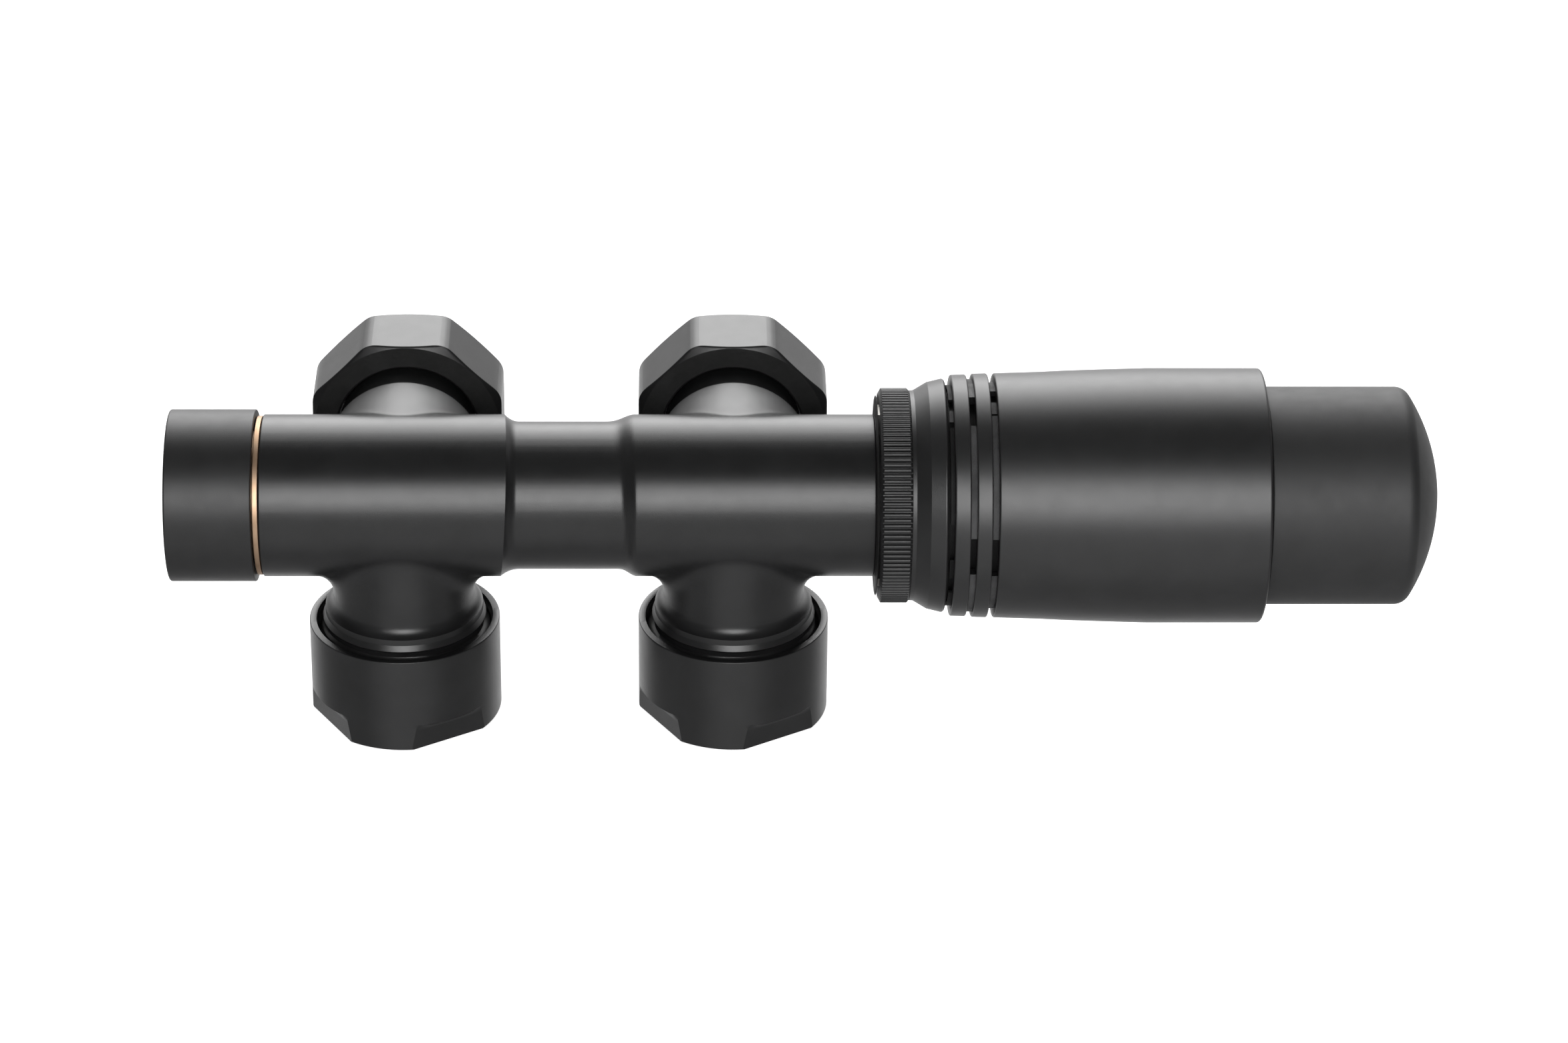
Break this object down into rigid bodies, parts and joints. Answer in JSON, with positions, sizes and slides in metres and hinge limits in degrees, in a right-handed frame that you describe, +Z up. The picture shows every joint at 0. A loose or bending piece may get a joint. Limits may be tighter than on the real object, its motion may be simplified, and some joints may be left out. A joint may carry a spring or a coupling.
{
  "type": "twin radiator connection valve",
  "caption": "Angled twin radiator valve: capped lockshield valve and thermostatic head on one tubular body with pipe and radiator unions.",
  "frame": {"origin": "midway between the two pipe unions, in the plane of their nuts' end faces", "axes": "+X along the body towards the thermostatic head, +Y out of the radiator unions, +Z up from the pipe unions"},
  "size_m": [0.1904, 0.0511, 0.0554],
  "materials": {
    "coated_metal": "matt black powder coat",
    "head_plastic": "matt black moulded plastic",
    "bare_brass": "turned",
    "steel": "drawn",
    "sensor_aluminium": "satin",
    "rubber_seal": "matt",
    "fibre_gasket": "pressed fibre"
  },
  "bodies": {
    "body": {"valve_body": "coated_metal", "lockshield_insert": "bare_brass", "insert_oring_left": "rubber_seal", "thermostatic_insert": "bare_brass", "insert_oring_right": "rubber_seal", "return_spring": "steel", "stem_oring": "rubber_seal", "stem_gland": "bare_brass", "nut_snap_ring_left": "steel", "nut_snap_ring_right": "steel", "radiator_gasket_left": "fibre_gasket", "radiator_gasket_right": "fibre_gasket"},
    "regulating_plug": {"lockshield_plug": "bare_brass", "plug_seal": "rubber_seal"},
    "spindle": {"lockshield_spindle": "bare_brass", "spindle_oring": "rubber_seal"},
    "cap_seal": {"cap_gasket": "rubber_seal"},
    "cap": {"lockshield_cap": "coated_metal"},
    "stem": {"valve_stem": "steel", "seat_disc": "rubber_seal", "stem_pin": "steel"},
    "head_base": {"head_base": "head_plastic"},
    "ring_nut": {"ring_nut": "coated_metal"},
    "sensor_unit": {"sensor_carrier": "head_plastic", "handle_snap_ring": "steel", "sensor": "sensor_aluminium", "sensor_piston": "steel", "overtravel_spring": "steel", "pressure_cup": "head_plastic"},
    "handle": {"handle": "head_plastic", "end_cap": "head_plastic"},
    "pipe_insert_left": {"cone_insert_left": "bare_brass", "cone_oring_left": "rubber_seal", "clamp_ring_left": "bare_brass"},
    "pipe_nut_left": {"pipe_nut_left": "coated_metal"},
    "radiator_nut_left": {"radiator_nut_left": "coated_metal"},
    "pipe_insert_right": {"cone_insert_right": "bare_brass", "cone_oring_right": "rubber_seal", "clamp_ring_right": "bare_brass"},
    "pipe_nut_right": {"pipe_nut_right": "coated_metal"},
    "radiator_nut_right": {"radiator_nut_right": "coated_metal"}
  },
  "joints": [
    {"name": "plug_travel", "type": "slide", "parent": "body", "child": "regulating_plug", "axis": [-1, 0, 0], "range_m": [0, 0.0035]},
    {"name": "spindle_turn", "type": "hinge", "parent": "regulating_plug", "child": "spindle", "pos_m": [-0.045, 0, 0.0362], "axis": [-1, 0, 0], "range_deg": [0, 1262]},
    {"name": "cap_travel", "type": "slide", "parent": "body", "child": "cap_seal", "axis": [-1, 0, 0], "range_m": [0, 0.00601]},
    {"name": "cap_turn", "type": "hinge", "parent": "cap_seal", "child": "cap", "pos_m": [-0.053, 0, 0.0362], "axis": [-1, 0, 0], "range_deg": [0, 1440]},
    {"name": "stem_travel", "type": "slide", "parent": "body", "child": "stem", "axis": [1, 0, 0], "range_m": [0, 0.00401], "deforming": ["return_spring"]},
    {"name": "head_travel", "type": "slide", "parent": "body", "child": "head_base", "axis": [1, 0, 0], "range_m": [0, 0.00601]},
    {"name": "ring_nut_turn", "type": "hinge", "parent": "head_base", "child": "ring_nut", "pos_m": [0.0486, 0, 0.0362], "axis": [1, 0, 0], "range_deg": [0, 1440]},
    {"name": "handle_travel", "type": "slide", "parent": "head_base", "child": "sensor_unit", "axis": [1, 0, 0], "range_m": [0, 0.00401]},
    {"name": "handle_turn", "type": "hinge", "parent": "sensor_unit", "child": "handle", "pos_m": [0.085, 0, 0.0362], "axis": [1, 0, 0], "range_deg": [0, 300]},
    {"name": "pipe_insert_left_travel", "type": "slide", "parent": "body", "child": "pipe_insert_left", "axis": [0, 0, -1], "range_m": [0, 0.00801]},
    {"name": "pipe_nut_left_turn", "type": "hinge", "parent": "pipe_insert_left", "child": "pipe_nut_left", "pos_m": [-0.025, 0, 0.0077], "axis": [0, 0, -1], "range_deg": [0, 1584]},
    {"name": "radiator_nut_left_spin", "type": "hinge", "parent": "body", "child": "radiator_nut_left", "pos_m": [-0.025, 0.026, 0.0362], "axis": [0, 1, 0], "continuous": true},
    {"name": "pipe_insert_right_travel", "type": "slide", "parent": "body", "child": "pipe_insert_right", "axis": [0, 0, -1], "range_m": [0, 0.00801]},
    {"name": "pipe_nut_right_turn", "type": "hinge", "parent": "pipe_insert_right", "child": "pipe_nut_right", "pos_m": [0.025, 0, 0.0077], "axis": [0, 0, -1], "range_deg": [0, 1584]},
    {"name": "radiator_nut_right_spin", "type": "hinge", "parent": "body", "child": "radiator_nut_right", "pos_m": [0.025, 0.026, 0.0362], "axis": [0, 1, 0], "continuous": true}
  ],
  "couplings": [
    {"joint": "spindle_turn", "follows": "plug_travel", "rad_per_m": 6283.2},
    {"joint": "cap_travel", "follows": "cap_turn", "m_per_rad": 0.00023873},
    {"joint": "head_travel", "follows": "ring_nut_turn", "m_per_rad": 0.00023873},
    {"joint": "handle_travel", "follows": "handle_turn", "m_per_rad": 0.00076394},
    {"joint": "stem_travel", "follows": "handle_turn", "m_per_rad": 0.00076394},
    {"joint": "pipe_insert_left_travel", "follows": "pipe_nut_left_turn", "m_per_rad": 0.00028871},
    {"joint": "pipe_insert_right_travel", "follows": "pipe_nut_right_turn", "m_per_rad": 0.00028871}
  ]
}
